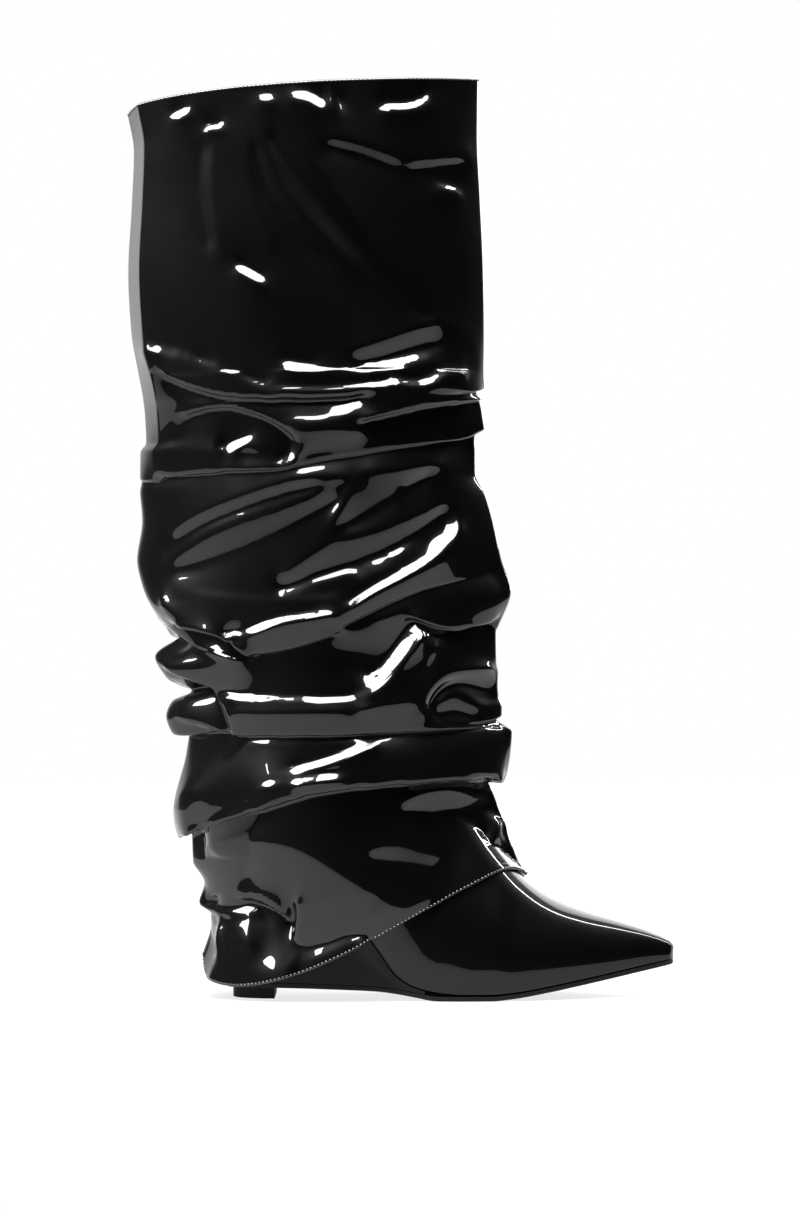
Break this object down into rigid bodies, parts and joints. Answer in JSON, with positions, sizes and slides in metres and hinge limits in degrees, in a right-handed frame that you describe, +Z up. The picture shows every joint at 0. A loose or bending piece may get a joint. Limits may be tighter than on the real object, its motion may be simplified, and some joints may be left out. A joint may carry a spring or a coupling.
{
  "type": "slouch wedge boot",
  "caption": "Knee-high slouch boot for the right foot: a loose, folded patent shaft over a pointed ankle upper on a covered wedge with a thin outsole.",
  "frame": {"origin": "middle of the heel top piece's floor face", "axes": "+X towards the toe, -Y towards the outer side of the foot, +Z up"},
  "size_m": [0.3087, 0.104, 0.5189],
  "materials": {
    "patent": "high gloss patent",
    "wedge_cover": "satin",
    "sole": "semi-matte",
    "top_piece": "matte",
    "lining": "matte"
  },
  "bodies": {
    "root": {"upper": "patent", "shaft": "patent", "wedge": "wedge_cover", "outsole": "sole", "heel_top_piece": "top_piece", "insole": "lining"}
  },
  "joints": []
}
